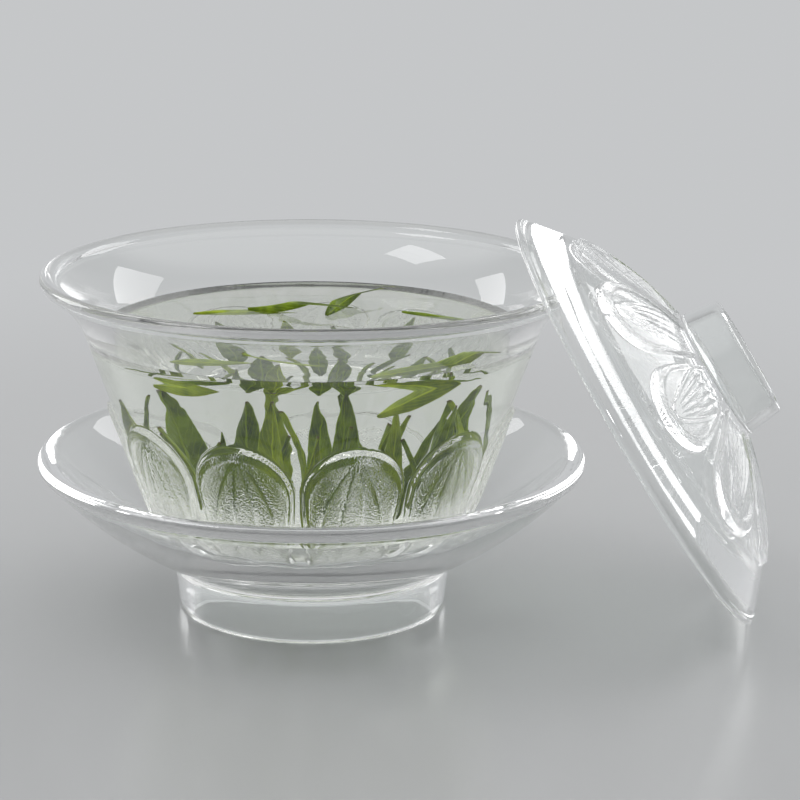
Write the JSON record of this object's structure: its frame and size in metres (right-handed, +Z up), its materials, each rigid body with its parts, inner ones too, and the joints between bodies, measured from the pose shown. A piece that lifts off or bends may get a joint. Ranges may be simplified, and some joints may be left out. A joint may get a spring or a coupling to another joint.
{
  "type": "gaiwan",
  "caption": "Clear pressed-glass gaiwan: flared lotus-petal bowl on a footed saucer, with its domed ring-knob lid leaning against the bowl.",
  "frame": {"origin": "centre of the saucer's foot, on the table", "axes": "+Z up through the bowl and saucer, +X towards the leaning lid"},
  "size_m": [0.1397, 0.1036, 0.0743],
  "materials": {
    "glass": "gloss"
  },
  "bodies": {
    "saucer": {"saucer": "glass"},
    "bowl": {"bowl": "glass"},
    "lid": {"lid": "glass"}
  },
  "joints": [
    {"name": "bowl_lift", "type": "slide", "parent": "saucer", "child": "bowl", "axis": [0, 0, 1], "range_m": [0, 0.05]},
    {"name": "lid_lift", "type": "slide", "parent": "bowl", "child": "lid", "axis": [0, 0, 1], "range_m": [0, 0.07]}
  ]
}
